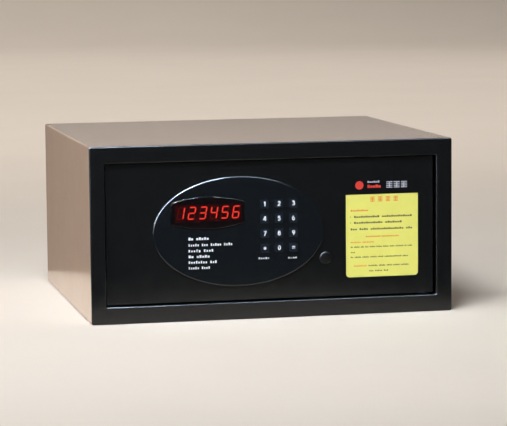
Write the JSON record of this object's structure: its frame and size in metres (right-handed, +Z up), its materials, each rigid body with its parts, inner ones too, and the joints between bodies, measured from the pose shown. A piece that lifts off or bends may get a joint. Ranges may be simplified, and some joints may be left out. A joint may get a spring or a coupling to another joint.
{
  "type": "in room safe",
  "caption": "Laptop-size hotel room safe: steel case, recessed door with oval keypad and red display, motor-driven bolts and emergency key lock.",
  "frame": {"origin": "middle of the base, under the case", "axes": "+X to the right seen from the front, +Y from the front to the back, +Z up"},
  "size_m": [0.42, 0.37, 0.2],
  "materials": {
    "case_paint": "champagne satin powder coat",
    "front_paint": "black satin powder coat",
    "housing_plastic": "blue-black satin moulded plastic",
    "key_plastic": "blue-black satin moulded plastic with white printed legends",
    "lens": "dark red gloss filter",
    "display_body": "matt black",
    "circuit_board": "green solder mask",
    "label_film": "yellow printed vinyl with a black header",
    "zinc_plate": "zinc plated",
    "bright_steel": "bright turned steel",
    "brass": "machined brass",
    "nylon": "black nylon",
    "spring_steel": "blued spring steel",
    "silicone": "grey silicone",
    "cover_plastic": "black fine-grained moulded plastic",
    "cell_sleeve": "printed sleeve, density near a dry cell's",
    "carpet": "charcoal needle felt",
    "lead_sleeve": "red sleeved lead"
  },
  "bodies": {
    "case": {"case_shell": "case_paint", "rear_panel": "case_paint", "front_frame": "front_paint", "strike_plate": "zinc_plate", "hinge_bush_lower": "nylon", "hinge_bush_upper": "nylon", "door_spring": "spring_steel", "floor_mat": "carpet"},
    "door": {"door_plate": "front_paint", "hinge_rod": "bright_steel", "keypad_housing": "housing_plastic", "display_lens": "lens", "display_module": "display_body", "control_board": "circuit_board", "keypad_mat": "silicone", "instruction_label": "label_film", "inner_cover": "cover_plastic", "cover_screw_1": "bright_steel", "cover_screw_2": "bright_steel", "cover_screw_3": "bright_steel", "cover_screw_4": "bright_steel", "cover_screw_5": "bright_steel", "cover_screw_6": "bright_steel", "lock_chassis": "zinc_plate", "drive_gearbox": "nylon", "drive_motor": "bright_steel", "override_barrel": "zinc_plate", "battery_tray": "cover_plastic", "battery_cell_1": "cell_sleeve", "battery_cell_2": "cell_sleeve", "battery_cell_3": "cell_sleeve", "battery_cell_4": "cell_sleeve", "battery_lead": "lead_sleeve", "motor_lead": "lead_sleeve"},
    "bolts": {"bolt_carriage": "zinc_plate", "lock_bolt_lower": "bright_steel", "lock_bolt_upper": "bright_steel", "release_link": "zinc_plate"},
    "pinion": {"drive_pinion": "nylon"},
    "key_cylinder": {"override_plug": "brass", "override_cam": "zinc_plate"},
    "keyhole_cap": {"override_cap": "housing_plastic"},
    "hatch": {"battery_hatch": "cover_plastic"},
    "key_1": {"key_1": "key_plastic"},
    "key_2": {"key_2": "key_plastic"},
    "key_3": {"key_3": "key_plastic"},
    "key_4": {"key_4": "key_plastic"},
    "key_5": {"key_5": "key_plastic"},
    "key_6": {"key_6": "key_plastic"},
    "key_7": {"key_7": "key_plastic"},
    "key_8": {"key_8": "key_plastic"},
    "key_9": {"key_9": "key_plastic"},
    "key_star": {"key_star": "key_plastic"},
    "key_0": {"key_0": "key_plastic"},
    "key_enter": {"key_enter": "key_plastic"}
  },
  "joints": [
    {"name": "door_hinge", "type": "hinge", "parent": "case", "child": "door", "pos_m": [0.179, -0.1717, 0.1], "axis": [0, 0, 1], "range_deg": [0, 100], "deforming": ["door_spring"]},
    {"name": "bolt_slide", "type": "slide", "parent": "door", "child": "bolts", "axis": [-1, 0, 0], "range_m": [0, 0.015]},
    {"name": "pinion_spin", "type": "hinge", "parent": "door", "child": "pinion", "pos_m": [-0.112, -0.1645, 0.08775], "axis": [0, -1, 0], "range_deg": [0, 107.5]},
    {"name": "key_cylinder_turn", "type": "hinge", "parent": "door", "child": "key_cylinder", "pos_m": [0.061, -0.16, 0.0662], "axis": [0, -1, 0], "range_deg": [0, 90]},
    {"name": "keyhole_cap_pull", "type": "slide", "parent": "door", "child": "keyhole_cap", "axis": [0, -1, 0], "range_m": [0, 0.02]},
    {"name": "battery_hatch_lift", "type": "slide", "parent": "door", "child": "hatch", "axis": [0, 1, 0], "range_m": [0, 0.02]},
    {"name": "key_1_press", "type": "slide", "parent": "door", "child": "key_1", "axis": [0, 1, 0], "range_m": [0, 0.0012], "stiffness_N_per_m": 800},
    {"name": "key_2_press", "type": "slide", "parent": "door", "child": "key_2", "axis": [0, 1, 0], "range_m": [0, 0.0012], "stiffness_N_per_m": 800},
    {"name": "key_3_press", "type": "slide", "parent": "door", "child": "key_3", "axis": [0, 1, 0], "range_m": [0, 0.0012], "stiffness_N_per_m": 800},
    {"name": "key_4_press", "type": "slide", "parent": "door", "child": "key_4", "axis": [0, 1, 0], "range_m": [0, 0.0012], "stiffness_N_per_m": 800},
    {"name": "key_5_press", "type": "slide", "parent": "door", "child": "key_5", "axis": [0, 1, 0], "range_m": [0, 0.0012], "stiffness_N_per_m": 800},
    {"name": "key_6_press", "type": "slide", "parent": "door", "child": "key_6", "axis": [0, 1, 0], "range_m": [0, 0.0012], "stiffness_N_per_m": 800},
    {"name": "key_7_press", "type": "slide", "parent": "door", "child": "key_7", "axis": [0, 1, 0], "range_m": [0, 0.0012], "stiffness_N_per_m": 800},
    {"name": "key_8_press", "type": "slide", "parent": "door", "child": "key_8", "axis": [0, 1, 0], "range_m": [0, 0.0012], "stiffness_N_per_m": 800},
    {"name": "key_9_press", "type": "slide", "parent": "door", "child": "key_9", "axis": [0, 1, 0], "range_m": [0, 0.0012], "stiffness_N_per_m": 800},
    {"name": "key_star_press", "type": "slide", "parent": "door", "child": "key_star", "axis": [0, 1, 0], "range_m": [0, 0.0012], "stiffness_N_per_m": 800},
    {"name": "key_0_press", "type": "slide", "parent": "door", "child": "key_0", "axis": [0, 1, 0], "range_m": [0, 0.0012], "stiffness_N_per_m": 800},
    {"name": "key_enter_press", "type": "slide", "parent": "door", "child": "key_enter", "axis": [0, 1, 0], "range_m": [0, 0.0012], "stiffness_N_per_m": 800}
  ],
  "couplings": [
    {"joint": "pinion_spin", "follows": "bolt_slide", "rad_per_m": 125}
  ]
}
